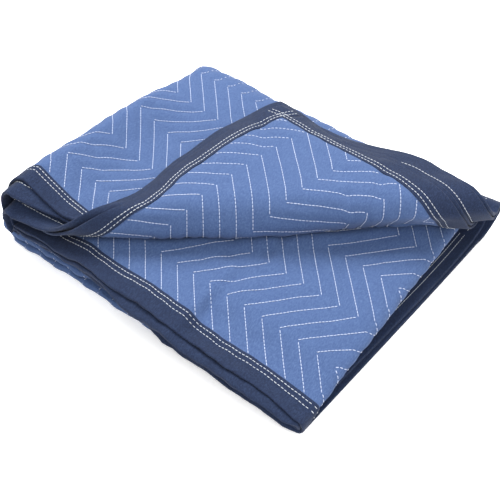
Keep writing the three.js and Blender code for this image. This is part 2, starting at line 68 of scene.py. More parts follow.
# Plan of the stack: centres of the round folds, the bound ends, and the axis of the back fold
LEFT_TOP, LEFT_BOTTOM = 45.0, 15.0
RIGHT_TOP, RIGHT_BOTTOM = 506.0, 500.0
END = 522.0
BACK = 394.0
BACK_RADIUS = 4 * PITCH
ROOM_BELOW = 2.0
BACK_ROOM = (230.0, BACK - 230.0)
FLOOR_GAP = 0.05

# Along the stack: room under the flap at the front and the back, room under the top run, loft of the
# whole stack, and drop of the middle edges
PROFILE = table(
    "x room_front room_back room_top loft drop",
    (45, 24, 20, 12, 0.20, 0),
    (110, 7, 16, 3, 0.22, 0),
    (150, 4, 12, 0, 0.25, 0),
    (240, 3, 8, 0, 0.20, 13),
    (340, 3, 4, 0, 0.09, 26),
    (430, 3, 3, 0, -0.05, 26),
    (522, 3, 3, 0, -0.22, 22),
)
LOFT_FADE = table("y share", (-30, 1.15), (BACK, 0))
DROP_FROM, DROP_POWER, DROP_KEPT, DROP_LAYERS = 40.0, 1.4, 0.12, 3.0
LEAN_MOST, LEAN_SPAN = 12.0, (40.0, 50.0)
LEAN_ALONG = table("x share", (45, 1), (150, 0))
LEAN_FADE = table("y share", (-30, 0.8), (134, 1), (BACK, 0))

# How far the bound edge of each run is set back, how much less its inner ply, and the slant of both ends
SET_UPPER, SET_LOWER, SET_SECOND, SET_THIRD, SET_RIGHT = 26.0, 4.0, 2.0, -3.0, -5.0
PLY_SET, OUTER_FOLD_SET, INNER_FOLD_SET = 2.0, 24.0, 14.0
RIM_RUN = 65.0
SET_LEVEL = 240.0
END_SLANT = table(
    "stage top flap",
    (0, -28, 6),
    (130 / BACK, 8, 22),
    (230 / BACK, 48, 26),
    (1, 30, 10),
    (2, 12, 8),
    (3, -15, -18),
)
SLANT_FROM = 150.0
LOW_CREASE = table(
    "x lowest others",
    (150, 13, 15),
    (240, 10, 40),
    (330, 14, 46),
    (450, 24, 46),
    (520, 0, 46),
)

# The corner that is turned back over a roll along a slanting line
CREASE_X, CREASE_Y, DIR_X, DIR_Y = 132.0, 24.0, 0.7597, 0.6503
ROLL_START = -9.0
ROLL_FIRST, ROLL_GROWTH = 25.0, 0.025
ROLL_TURN = math.radians(178.5)
FLAP_BEND_DEPTH = 130.0
FLAP_BEND = table("x bend", (110, 0), (150, 24), (240, 18), (340, -10), (430, -18), (522, 0))

# Its bound edges hang from their seams, least at the start of the crease and at the corner
HANG_RUN, HANG_DEPTH = 54.0, 19.0
HANG_FRONT = (150.0, 190.0)
HANG_SIDE = table("y share", (125, 1), (205, 0.35), (330, 0.25))
HANG_CORNER, HANG_CORNER_KEPT = 85.0, 0.35

# Sag behind the bound edge of the lower layer, and the shoulder at its right fold
SAG = table("x depth", (326, 0), (344, 10.5), (385, 12), (440, 10.5), (500, 9), (540, 8))
SAG_EDGE_KEPT = 0.3
SAG_GROWS, SAG_FADES = (-6.0, 22.0), (32.0, 50.0)
SHOULDER_FROM, SHOULDER_RUN, SHOULDER_DROP = 468.0, 44.0, 8.0
LOWER_TOP = 57.0
LOWER_FADES = (LOWER_TOP + 9, 26.0)

# Bound edges of the upper runs curl down at the left, by a share of the room under each run
CURL_RUN, CURL_MOST, CURL_TOP, CURL_FLAP = 56.0, 1.2, 0.7, 0.4
CURL_ALONG = table("x share", (60, 1), (140, 0))

# Bound edges at the front: shift forward and lift, by height as a share of the lower layer's edge
FRONT_EDGES = table(
    "share forward lift",
    (0.15, 0, 0),
    (0.33, 5, 0),
    (0.45, 0, 0),
    (0.56, -3, 0.8),
    (0.68, 3, 1.8),
    (0.80, 10, 2.5),
    (0.86, 9, 2.5),
    (0.96, 0, 0),
    (1.00, 0, 0),
)
FRONT_TOP = table("x height", (240, 63.8), (300, 58.8), (352, 54.6), (433, 47.5), (490, 42), (520, 39))
FRONT_DEEP, FRONT_GROWS, FRONT_FADES = (0.0, 34.0), (190.0, 90.0), (488.0, 24.0)

# The left folds are tucked in, and so is the foot of the roll, by the place along the crease
LEFT_TUCK, LEFT_TUCK_NEAR, LEFT_TUCK_HIGH = 6.0, (-10.0, 70.0), (58.0, 24.0)
TUCK = table("along back", (0, 0), (60, -6), (200, -8), (300, 0), (400, 13), (450, 14), (520, 6))
TUCK_FROM = table("along height", (0, 68), (480, 56))
TUCK_GROWS, TUCK_FADES, TUCK_PAST = (0.0, 10.0), (20.0, 32.0), (-45.0, 40.0)

# The lower layer swells in front of the roll, up to the height where the air under the roll starts
SWELL = table(
    "along middle rise height",
    (0, 8, 0, 70),
    (40, 10, 7, 69.5),
    (120, 12, 6.5, 66),
    (260, 15, 9, 61),
    (330, 8, 8, 56.5),
    (400, 0, 5.5, 56),
    (450, -2, 3.5, 54),
    (490, -6, 0, 53),
)
SWELL_HALF, SWELL_FADE, SWELL_LEAST = 15.0, 1.1, 0.5

# Soft creases from one place to another, and the heights where each starts, is full and has gone
CREASES = table(
    "x_0 y_0 x_1 y_1 half rise start full gone",
    (348, 196, 340, 146, 8, -2.6, 15, 50, 90),
    (337, 112, 338, 42, 8, -3.2, 15, 50, 90),
    (322, 120, 321, 50, 9, 2.2, 15, 50, 90),
    (362, 150, 356, 60, 9, 1.6, 15, 50, 90),
    (298, 128, 322, 123, 7, -1.8, 15, 50, 90),
    (270, 70, 288, 96, 7, -2.4, 15, 50, 90),
    (430, 200, 455, 168, 7, -2.8, 15, 50, 90),
    (418, 300, 436, 272, 8, -3.6, 80, 100, 150),
    (400, 250, 428, 226, 7, -3.0, 80, 100, 150),
    (300, 170, 318, 150, 8, -2.6, 80, 100, 150),
    (232, 300, 262, 262, 9, -2.6, 80, 100, 150),
    (60, 140, 96, 118, 9, -1.8, 40, 70, 150),
    (70, 250, 120, 236, 10, -1.6, 40, 70, 150),
)
CREASE_FADE = 20.0

# Small waves of the bound edges at the front, and of the loose lowest edges on the left. A wave's length
# is given along the edge and upwards, and one that leans the other way has a negative length upwards
EDGE_DEEP, EDGE_GROWS, EDGE_FADES = (0.0, 46.0), (0.0, 24.0), (66.0, 12.0)
EDGE_RISE = table("height along up phase", (1.3, 15.5, 8, 0), (0.4, 5.3, -6, 0))
EDGE_FORTH = table("height along up phase", (1.3, 12.2, 5.5, 0), (0.35, 4.1, -9, 0))
LOOSE_DEEP, LOOSE_HIGH, LOOSE_ALONG = (18.0, 26.0), (26.0, 12.0), (310.0, 60.0)
LOOSE_FLOOR = 9.0
LOOSE_RISE = table("height along up phase", (0.9, 8.1, -7, 2), (0.5, 4.7, math.inf, 0.6))
LOOSE_FORTH = table("height along up phase", (1.1, 9.3, 5, 0), (0.5, 4.4, -5, 1.3))

# Unevenness of the stack, of the padding and of the tape, each a sum of waves with fixed phases
STACK_NOISE = {"height": 1.2, "size": 130, "seed": 21}
FINE_NOISE = {"height": 0.55, "size": 46, "seed": 22}
PANEL_NOISE = {"height": 0.55, "size": 70, "seed": 3}
TAPE_NOISE = {"height": 0.18, "size": 34, "seed": 5}
NOISE_WAVES, NOISE_SUM, NOISE_SIZES = 9, 4.0, (0.6, 1.7)

# Zigzag quilting: pitch, reach and half wave, one low corner on each layer that shows, and its padding
QUILT_PITCH, QUILT_REACH, QUILT_HALF_WAVE = 26.6, 64.8, 72.5
QUILT_TOP = (48.0, 97.0)
QUILT_FLAP = (26.0, 148.0)
QUILT_LOWER = (264.0, 75.0)
PUFF, PUFF_POWER, GROOVE = 1.5, 1.2, 1.0
PUFF_GROWS = (BINDING_WIDTH - 2, 5.0)

# Tape: grid lines from the fold to the inner edge, and the pucker between its rows of stitches
TAPE_LINES = np.array([0.4, 2.2, 5, 8, 11, 14.5, 18, 21.5, 24, 26.5, 28.5, 30, 30.5])
TAPE_BENDS = 9
TAPE_STRETCH = 2.4
PUCKER = {"height": 0.096, "length": 7.3, "sway": 2.2, "sway_length": 31}
PUCKER_FROM_FOLD, PUCKER_FROM_LIP = 6.0, 3.0

# Sewing: single stitches, the sections of one along its thread, the short way along or up the cloth
# that gives its direction, and the least way up of one that isn't pressed flat
QUILT_STITCH = {"step": 4.3, "length": 3.9, "width": 1.2, "height": 0.75, "lift": 0.3}
TAPE_STITCH = {"step": 5.0, "length": 3.9, "width": 1.05, "height": 0.65, "lift": 0.12}
STITCH_SECTIONS = table(
    "along size sunk",
    (-0.50, 0.35, 0.6),
    (-0.32, 1.00, 0.0),
    (0.32, 1.00, 0.0),
    (0.50, 0.35, 0.6),
)
STITCH_RING = np.radians([45, 135, 225, 315])
AHEAD, LEAST_UP = 0.5, 0.1

# Where quilting is sewn: inside the tape, from corner to corner of a line in steps, behind the slanting
# crease, outside the covered part of the top, and on the lines that end at the ribbon's folded edge
SEWN_FROM = BINDING_WIDTH + 1.8
CORNER_FROM, CORNER_CLEAR = 0.5, 0.4
SEWN_BEHIND = 30.0
COVERED_X, COVERED_Y, UNDER_SHOWN = 300.0, 320.0, 60.0
CREASE_LINES, CREASE_ROW = (14.0, 320.0), (-17.0, 14.0)

# Rows on the tape: insets, ends left clear, drift on the back fold, and how much of the rim shows
TAPE_ROWS_INSET = (25.8, 19.4)
ROW_FROM, ROW_TO = 4.0, 3.0
ROW_DRIFT = 9.0
RIM_SHOWN = 170.0

# Steps of the meshes along the ribbon, part by part, and over the depth of the stack. The inner face of
# the panel keeps one grid line in three, and all of them near the rim and the folds
COVERED_TOP = 180.0
PANEL_STEPS = {
    "covered top run": 7, "top run": 4.3, "outer fold": 5, "hidden run": 11, "right fold": 2.4,
    "lower run": 4.3, "inner fold": 6, "flap": 4.3,
}
EDGE_STEPS = {
    "top run": 6, "outer fold": 4, "hidden run": 8, "right fold": 2,
    "lower run": 4.3, "inner fold": 4, "flap": 6,
}
PLY_A_STEPS = {"upper half": 4.3, "back fold": 2.6, "lower half": 13}
PLY_B_STEPS = {"upper half": 15, "back fold": 6, "lower half": 30}
END_STEPS = {"upper half": 6, "back fold": 4, "lower half": 9}
CREASE_STEP = 1.0
END_CLEAR = 0.8
COARSE = 3
FINE_RIM, FINE_CREASE = 60.0, 9.0

# Looks: display colours of each cloth, the sizes of its weave and mottle, relief and sheen
CLOTH = {
    "plain": (61, 80, 117), "dark": (51, 68, 105), "pale": (74, 94, 130),
    "weave": 1300, "mottle": 480, "bump": 0.3, "sheen": 0.05,
}
NAVY = {
    "plain": (26, 36, 59), "dark": (18, 26, 45), "pale": (38, 51, 77),
    "weave": 1500, "mottle": 520, "bump": 0.35, "sheen": 0.04,
}
QUILT_THREAD = {
    "plain": (163, 172, 196), "dark": (151, 160, 186), "pale": (175, 183, 202),
    "weave": 1500, "mottle": 900, "bump": 0.2, "sheen": 0.1,
}
TAPE_THREAD = {
    "plain": (174, 179, 186), "dark": (162, 167, 174), "pale": (184, 188, 194),
    "weave": 1500, "mottle": 900, "bump": 0.2, "sheen": 0.1,
}
FINISH = {"Roughness": 0.92, "Specular IOR Level": 0.18, "Sheen Roughness": 0.5}
TWILL_ANGLE, TWILL_SCALE = math.radians(62), (1.5, 0.55, 1)
TONE_STOPS = {"dark": 0.32, "plain": 0.5, "pale": 0.7}
RELIEF = 0.0006

# White floor and surroundings, brightest overhead: sine of the height, and share of the strength
FLOOR_HALF = 6.0
PAPER = {
    "Base Color": (0.92, 0.92, 0.92, 1), "Roughness": 0.9,
    "Emission Color": (1, 1, 1, 1), "Emission Strength": 0.25,
}
SKY = ((0.0, 0.52), (0.1, 0.52), (0.18, 0.22), (0.5, 0.4), (1.0, 1.0))
SKY_STRENGTH = 2.0
LIGHTS = (
    {"name": "key", "at": (-0.6, 0.6, 1.9), "size": 1.2, "power": 66},
    {"name": "fill", "at": (1.4, -1.0, 1.5), "size": 1.6, "power": 24},
)
CAMERA_AT = np.array([736.0, -401.0, 774.0])
CAMERA_PITCH, CAMERA_YAW = math.radians(46.05), math.radians(36.88)
FOCAL_PIXELS, PICTURE_PIXELS, SENSOR = 771, 500, 36
CLIP_START = 0.05


def mix(a, b, t):
    return a + (b - a) * t


def ease(t):
    t = np.clip(t, 0, 1)
    return t * t * (3 - 2 * t)


def grow(v, span):
    """Eases from 0 to 1 over a span."""
    start, run = span
    return ease((v - start) / run)


def fade(v, span):
    """Eases from 1 to 0 over a span."""
    return 1 - grow(v, span)


def straight(rows, at):
    """Straight lines through a table of two columns, level beyond its ends."""
    return np.interp(at, *rows.values())


def smooth(rows, column, at):
    """Monotone cubic through one column of a table, level beyond its ends."""
    x, y = next(iter(rows.values())), rows[column]
    width, slope = np.diff(x), np.diff(y) / np.diff(x)
    tangent = np.concatenate([slope[:1], slope])
    for k in range(1, len(x) - 1):
        if slope[k - 1] * slope[k] <= 0:
            tangent[k] = 0
        else:
            tangent[k] = 2 / (1 / slope[k - 1] + 1 / slope[k])
    at = np.clip(at, x[0], x[-1])
    i = np.clip(np.searchsorted(x, at, side="right") - 1, 0, len(x) - 2)
    t = (at - x[i]) / width[i]
    h00, h10 = 2 * t**3 - 3 * t**2 + 1, t**3 - 2 * t**2 + t
    h01, h11 = -2 * t**3 + 3 * t**2, t**3 - t**2
    return h00 * y[i] + h10 * width[i] * tangent[i] + h01 * y[i + 1] + h11 * width[i] * tangent[i + 1]


def waves(rows, x, z):
    """Sum of the waves in a table."""
    total = np.zeros(np.broadcast(x, z).shape)
    for height, along, up, phase in zip(*rows.values()):
        total += height * np.sin(x / along + z / up + phase)
    return total


def uneven(x, y, noise):
    """Smooth unevenness from a few waves in all directions."""
    rng = np.random.default_rng(noise["seed"])
    total = np.zeros(np.broadcast(x, y).shape)
    for _ in range(NOISE_WAVES):
        angle, phase = rng.uniform(0, 2 * math.pi, 2)
        wave = 2 * math.pi / (noise["size"] * rng.uniform(*NOISE_SIZES))
        total += np.sin(wave * (x * math.cos(angle) + y * math.sin(angle)) + phase)
    return noise["height"] * total / NOISE_SUM


# The ribbon: four runs joined by three round folds, with the mark where each starts and the level of
# each run over the middle of the stack. Over the depth, the back fold joins the two halves
TOP, OUTER_FOLD, HIDDEN, RIGHT_FOLD, LOWER, INNER_FOLD, FLAP = range(7)
HIDDEN_LEVEL, LOWER_LEVEL, FLAP_LEVEL, TOP_LEVEL = PITCH, 3 * PITCH, 5 * PITCH, 7 * PITCH
OUTER_RADIUS = (TOP_LEVEL - HIDDEN_LEVEL) / 2
FOLD_ROOM, TOP_ROOM = PROFILE["room_front"][0], PROFILE["room_top"][0]
OUTER_RUN = END - LEFT_TOP
MIDDLE_RUN = RIGHT_TOP - LEFT_TOP
PARTS = np.array([
    OUTER_RUN, math.pi * (OUTER_RADIUS + (FOLD_ROOM + TOP_ROOM) / 2), MIDDLE_RUN, math.pi * PITCH,
    MIDDLE_RUN, math.pi * (PITCH + FOLD_ROOM / 2), OUTER_RUN,
])
MARKS = np.concatenate([[0], np.cumsum(PARTS)])
WIDTH = MARKS[-1]
BACK_ARC = math.pi * BACK_RADIUS
RIBBON = BACK + BACK_ARC + BACK - LOW_CREASE["others"][0]
CREASE_HALF = math.pi * HALF_PITCH / 2
DEPTH = RIBBON + CREASE_HALF
MIDDLE = TOP_LEVEL + HALF_PITCH + ROOM_BELOW + PLY / 2
LOWEST_WOUND = MIDDLE + FLAP_LEVEL - HALF_PITCH
SETS = table(
    "w outer inner",
    (MARKS[OUTER_FOLD] - RIM_RUN, SET_UPPER, SET_UPPER - PLY_SET),
    (MARKS[OUTER_FOLD], SET_UPPER, SET_UPPER - OUTER_FOLD_SET),
    (MARKS[HIDDEN], SET_SECOND, SET_SECOND - PLY_SET),
    (MARKS[HIDDEN] + SET_LEVEL - LEFT_TOP, SET_SECOND, SET_SECOND - PLY_SET),
    (MARKS[RIGHT_FOLD], SET_RIGHT, SET_RIGHT - PLY_SET),
    (MARKS[LOWER], SET_RIGHT, SET_RIGHT - PLY_SET),
    (MARKS[INNER_FOLD] - SET_LEVEL + LEFT_TOP, SET_THIRD, SET_THIRD - PLY_SET),
    (MARKS[INNER_FOLD], SET_THIRD, SET_THIRD - PLY_SET),
    (MARKS[FLAP], SET_LOWER, SET_LOWER - INNER_FOLD_SET),
    (MARKS[FLAP] + RIM_RUN, SET_LOWER, SET_LOWER - PLY_SET),
)


def past_crease(x, y):
    return (x - CREASE_X) * DIR_Y - (y - CREASE_Y) * DIR_X


def along_crease(x, y):
    return (x - CREASE_X) * DIR_X + (y - CREASE_Y) * DIR_Y


def room_above(x, y):
    return mix(smooth(PROFILE, "room_front", x), smooth(PROFILE, "room_back", x), grow(y, BACK_ROOM))


def room_under_top(x, y):
    return smooth(PROFILE, "room_top", x) * fade(y, BACK_ROOM)


def settle(x, y, z):
    """Unevenness of the whole stack: loft along the bound side, and left folds that lean in."""
    height = z * (1 + smooth(PROFILE, "loft", x) * straight(LOFT_FADE, y))
    lean = LEAN_MOST * straight(LEAN_ALONG, x) * smooth(LEAN_FADE, "share", y)
    return x + lean * grow(height, LEAN_SPAN), y, height


def hang(x, y):
    """How far the bound edges of the turned corner hang, in the plan before it is turned."""
    def bent(e):
        return np.where(e < 1, np.maximum(e, 0) ** 2, 2 * e - 1)

    end = END + smooth(END_SLANT, "flap", np.clip(y / BACK, 0, 1))
    front = bent((HANG_RUN - y) / HANG_RUN) * grow(x, HANG_FRONT)
    side = bent((x - end + HANG_RUN) / HANG_RUN) * smooth(HANG_SIDE, "share", y)
    corner = ease(1 - np.hypot(end - x, y) / HANG_CORNER)
    return HANG_DEPTH * np.hypot(front, side) * mix(1, HANG_CORNER_KEPT, corner)


def turn_back(x, y, z, layer, flat, depth):
    """Winds the upper front corner back, each layer on its own radius."""
    reach = np.maximum(past_crease(x, y) - ROLL_START, 0)
    foot_x, foot_y = x - DIR_Y * reach, y + DIR_X * reach
    foot_z = LOWEST_WOUND + room_above(foot_x, foot_y)
    rest_x, rest_y, rest_z = settle(foot_x, foot_y, foot_z)
    above = z - LOWEST_WOUND - room_above(x, y)
    rolled = ROLL_FIRST + ROLL_GROWTH * along_crease(x, y)
    own = rolled - layer * PITCH
    radius = rolled - above * rest_z / foot_z
    turned = np.minimum(reach / own, ROLL_TURN)
    rest = np.maximum(0, reach - ROLL_TURN * own)
    out = radius * np.sin(turned) + rest * math.cos(ROLL_TURN)
    over = np.clip(reach / (rolled * ROLL_TURN), 0, 1) ** 2
    bend = smooth(FLAP_BEND, "bend", flat) * np.maximum(0, 1 - depth / FLAP_BEND_DEPTH) * over
    wound = (
        rest_x + DIR_Y * out + 2 * DIR_X * DIR_Y * bend,
        rest_y - DIR_X * out + (1 - 2 * DIR_X**2) * bend,
        rest_z + rolled - radius * np.cos(turned) + rest * math.sin(ROLL_TURN) - hang(x, y) * over,
    )
    lying = settle(x, y, z)
    return [np.where(reach > 0, a, b) for a, b in zip(wound, lying)]


def sagging(x, y):
    """Depth of the sag behind the bound edge of the lower layer, and of the shoulder on its right."""
    inward = mix(SAG_EDGE_KEPT, 1, grow(y, SAG_GROWS)) * fade(y, SAG_FADES)
    shoulder = SHOULDER_DROP * np.clip((x - SHOULDER_FROM) / SHOULDER_RUN, 0, 1) ** 2
    return smooth(SAG, "depth", x) * inward + shoulder * (y < BACK)


def creased(x, y, z):
    """Rise of the soft creases, negative in a trough."""
    total = np.zeros(np.broadcast(x, y, z).shape)
    for x_0, y_0, x_1, y_1, half, rise, start, full, gone in zip(*CREASES.values()):
        run_x, run_y = x_1 - x_0, y_1 - y_0
        t = np.clip(((x - x_0) * run_x + (y - y_0) * run_y) / (run_x**2 + run_y**2), 0, 1)
        apart = np.hypot(x - x_0 - t * run_x, y - y_0 - t * run_y)
        level = grow(z, (start, full - start)) * fade(z, (gone - CREASE_FADE, CREASE_FADE))
        total += rise * np.exp(-((apart / half) ** 2)) * level
    return total


def swelling(along, past, z):
    """Rise of the lower layer in front of the roll."""
    rise = smooth(SWELL, "rise", along)
    over = (z - smooth(SWELL, "height", along)) / (SWELL_FADE * rise + SWELL_LEAST)
    apart = (past - smooth(SWELL, "middle", along)) / SWELL_HALF
    return rise * np.exp(-(apart**2)) * (1 - np.clip(over, 0, 1))


def crumple(x, y, z):
    """Small unevenness of the settled stack, fading towards the floor."""
    low = np.clip(z / LOWER_TOP, 0, 1)
    rise = low * (uneven(x, y, STACK_NOISE) + uneven(x, y, FINE_NOISE))
    rise += creased(x, y, z) - sagging(x, y) * low * fade(z, LOWER_FADES)

    edge = fade(y, EDGE_DEEP) * grow(z, EDGE_GROWS) * fade(z, EDGE_FADES)
    loose = fade(y, LOOSE_DEEP) * fade(z, LOOSE_HIGH) * fade(x, LOOSE_ALONG)
    rise += edge * waves(EDGE_RISE, x, z)
    rise += loose * np.clip(z / LOOSE_FLOOR, 0, 1) * waves(LOOSE_RISE, x, z)
    forth = edge * waves(EDGE_FORTH, x, z) + loose * waves(LOOSE_FORTH, x, z)
    share = z / straight(FRONT_TOP, x)
    front = fade(y, FRONT_DEEP) * grow(x, FRONT_GROWS) * fade(x, FRONT_FADES)
    rise += smooth(FRONT_EDGES, "lift", share) * front
    forth -= smooth(FRONT_EDGES, "forward", share) * front

    x = x + LEFT_TUCK * fade(x, LEFT_TUCK_NEAR) * grow(z, LEFT_TUCK_HIGH)
    along, past = along_crease(x, y), past_crease(x, y)
    rise += low * swelling(along, past, z)
    above = z - straight(TUCK_FROM, along)
    foot = grow(above, TUCK_GROWS) * fade(above, TUCK_FADES) * grow(past, TUCK_PAST)
    tuck = smooth(TUCK, "back", along) * foot
    return np.stack([x - DIR_Y * tuck, y + forth + DIR_X * tuck, np.maximum(z + rise, FLOOR_GAP)], -1)


def slanted(x, slant):
    return x + slant * np.clip((x - SLANT_FROM) / (END - SLANT_FROM), 0, 1)


def bound_set(w, inner):
    of_inner, of_outer = (np.interp(w, SETS["w"], SETS[ply]) for ply in ("inner", "outer"))
    return np.where(inner, of_inner, of_outer)


# The flat pattern of the layers that show: plan place of a point on the ribbon, and the way back
def by_run(w, top, lower, flap):
    return np.where(w >= MARKS[INNER_FOLD], flap, np.where(w <= MARKS[RIGHT_FOLD], top, lower))


def flat_x(w):
    return by_run(w, END - w, RIGHT_TOP - (w - MARKS[LOWER]), LEFT_TOP + w - MARKS[FLAP])


def flat_set(w):
    return by_run(w, SET_UPPER, SET_THIRD, SET_LOWER)


def flat_y(w, depth):
    return depth + flat_set(w) * np.maximum(0, 1 - depth / BACK)


def top_w(x):
    return END - x


def lower_w(x):
    return MARKS[LOWER] + RIGHT_TOP - x


def flap_w(x):
    return MARKS[FLAP] + x - LEFT_TOP


def place(w, l, n):
    """Cloth to space: w along the ribbon, l over both plies, n out of the cloth."""
    w, l, n = (np.asarray(v, float) for v in np.broadcast_arrays(w, l, n))
    inner = l > 0
    depth = np.minimum(RIBBON, DEPTH - np.abs(l))
    around = math.pi / 2 * (1 + np.clip(l / CREASE_HALF, -1, 1))
    turn = np.clip((depth - BACK) / BACK_ARC, 0, 1)
    under = np.clip((depth - BACK - BACK_ARC) / (RIBBON - BACK - BACK_ARC), 0, 1)
    stage = np.clip(depth / BACK, 0, 1) + turn + under
    top_y = np.minimum(depth, BACK)
    part = np.searchsorted(MARKS[1:-1], w, side="left")
    t = (w - MARKS[part]) / PARTS[part]

    # The ribbon in its runs and round folds, and the two plies either side of it
    sin, cos = np.sin(math.pi * t), np.cos(math.pi * t)
    left, right = mix(LEFT_TOP, LEFT_BOTTOM, turn), mix(RIGHT_TOP, RIGHT_BOTTOM, turn)
    fold_room = mix(room_above(left, top_y), ROOM_BELOW, ease(turn))
    top_room = room_under_top(left, top_y) * (1 - turn)
    outer, within = OUTER_RADIUS + (fold_room + top_room) / 2, PITCH + fold_room / 2
    slant_top, slant_flap = smooth(END_SLANT, "top", stage), smooth(END_SLANT, "flap", stage)
    zero = np.zeros_like(w)
    x = np.choose(part, [
        slanted(mix(END, left, t), slant_top), left - outer * sin, mix(left, right, t),
        right + PITCH * sin, mix(right, left, t), left - within * sin,
        slanted(mix(left, END, t), slant_flap),
    ])
    run_room = mix(room_above(x, top_y), ROOM_BELOW, ease(turn))
    run_top_room = room_under_top(x, top_y) * (1 - turn)
    height = np.choose(part, [
        TOP_LEVEL + run_room + run_top_room, HIDDEN_LEVEL + outer * (1 + cos), zero + HIDDEN_LEVEL,
        (2 - cos) * PITCH, zero + LOWER_LEVEL, LOWER_LEVEL + within * (1 - cos), FLAP_LEVEL + run_room,
    ])
    out_x = np.choose(part, [zero, -sin, zero, sin, zero, sin, zero])
    out_up = np.choose(part, [zero + 1, cos, zero - 1, -cos, zero + 1, cos, zero - 1])
    x = x + out_x * (HALF_PITCH + n) * np.cos(around)
    height = height + out_up * (HALF_PITCH + n) * np.cos(around)
    bulge = (HALF_PITCH + n) * np.sin(around)

    # The lower half of the stack, the back fold, and the upper half with its turned corner
    lowest, others = smooth(LOW_CREASE, "lowest", x), smooth(LOW_CREASE, "others", x)
    low_y = mix(BACK, np.where(part == TOP, lowest, others), under) - bulge
    below = settle(x, low_y, MIDDLE - height)
    angle = math.pi * turn
    over = settle(x, BACK + height * np.sin(angle), MIDDLE + height * np.cos(angle))
    y = depth + bound_set(w, inner) * (1 - depth / BACK)
    z = MIDDLE + height
    near = np.maximum(0, (DROP_FROM - y) / DROP_FROM) ** DROP_POWER
    share = mix(1, DROP_KEPT, np.clip(height / (DROP_LAYERS * PITCH), 0, 1))
    lying_x, lying_y, lying_z = settle(x, y, z - smooth(PROFILE, "drop", x) * near * share)

    top_curl, flap_curl = CURL_TOP * room_under_top(x, top_y), CURL_FLAP * room_above(x, top_y)
    curl_edge = np.clip(1 - y / CURL_RUN, 0, CURL_MOST) ** 2
    curl = np.where(part <= OUTER_FOLD, top_curl, flap_curl) * straight(CURL_ALONG, x) * curl_edge
    z = z - np.where((part <= OUTER_FOLD) | (part >= INNER_FOLD), curl, 0)
    lying_z = lying_z - np.where((part == OUTER_FOLD) | (part == INNER_FOLD), curl, 0)
    layer = np.where(part == TOP, np.where(inner, 2, 3), np.where(inner, 1, 0))
    wound = turn_back(x, y, z, layer, flat_x(w), depth)
    turned = (part == TOP) | (part == FLAP)
    upper = [np.where(turned, a, b) for a, b in zip(wound, (lying_x, lying_y, lying_z))]
    kinds = [under > 0, turn > 0]
    return crumple(*(np.select(kinds, [a, b], c) for a, b, c in zip(below, over, upper)))


def to_frame(points):
    return (np.asarray(points) - STACK_MIDDLE) * MM


def zigzag(y, low_y):
    wave = np.mod((y - low_y) / QUILT_HALF_WAVE, 2)
    return QUILT_REACH * (1 - np.abs(1 - wave))


def puff_at(w, depth):
    """Height of the padding between the sewn lines, 0 on a line and 1 between two."""
    low_x, low_y = (by_run(w, *corners) for corners in zip(QUILT_TOP, QUILT_LOWER, QUILT_FLAP))
    line = (flat_x(w) - low_x - zigzag(flat_y(w, depth), low_y)) / QUILT_PITCH
    return np.abs(np.sin(math.pi * line)) ** PUFF_POWER


def mesh_object(name, points, faces, material):
    mesh = bpy.data.meshes.new(name)
    mesh.from_pydata(to_frame(points).tolist(), [], faces)
    mesh.update()
    mesh.polygons.foreach_set("use_smooth", [True] * len(mesh.polygons))
    mesh.materials.append(material)
    piece = bpy.data.objects.new(name, mesh)
    bpy.context.scene.collection.objects.link(piece)
    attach(piece, "root")
    return piece


def spread(marks, steps):
    """Grid lines from mark to mark, each part with a step of its own."""
    lines = [marks[:1]]
    for start, stop, step in zip(marks, marks[1:], steps):
        count = max(2, int(round((stop - start) / step)) + 1)
        lines.append(np.linspace(start, stop, count)[1:])
    return np.concatenate(lines)


def grid_faces(columns, rows, first=0, flip=False):
    index = first + np.arange(columns * rows).reshape(columns, rows)
    quads = np.stack([index[:-1, :-1], index[1:, :-1], index[1:, 1:], index[:-1, 1:]], -1).reshape(-1, 4)
    return (quads[:, ::-1] if flip else quads).tolist()


def rim(index):
    """Boundary of a grid of point numbers, once round."""
    return np.concatenate([index[:-1, 0], index[-1, :-1], index[:0:-1, -1], index[0, :0:-1]]).tolist()


def sheet_mesh(outer, inner, kept_columns, kept_rows, flip):
    """Closed sheet: a fine outer face, a coarse inner face and walls between their rims."""
    columns, rows = outer.shape[:2]
    outer_index = np.arange(columns * rows).reshape(columns, rows)
    inner_index = columns * rows + np.arange(inner.shape[0] * inner.shape[1]).reshape(inner.shape[:2])
    points = np.concatenate([outer.reshape(-1, 3), inner.reshape(-1, 3)])
    faces = grid_faces(columns, rows) + grid_faces(*inner.shape[:2], first=columns * rows, flip=True)
    fine, coarse = rim(outer_index), rim(inner_index)
    at = {i: k for k, i in enumerate(fine)}
    partner_index = outer_index[np.ix_(kept_columns, kept_rows)]
    partner = dict(zip(inner_index.ravel().tolist(), partner_index.ravel().tolist()))
    for one, two in zip(coarse, coarse[1:] + coarse[:1]):
        start, stop = at[partner[one]], at[partner[two]]
        stop = stop if stop > start else stop + len(fine)
        run = [fine[k % len(fine)] for k in range(start, stop + 1)]
        faces.append(run[::-1] + [one, two])
    return points, [face[::-1] for face in faces] if flip else faces


def kept(lines, fine_ranges):
    """The grid lines of a coarse face: every few, and every one in the fine ranges."""
    inside = np.any([(lines >= a) & (lines <= b) for a, b in fine_ranges], axis=0)
    inside[::COARSE] = True
    inside[-1] = True
    return np.flatnonzero(inside)


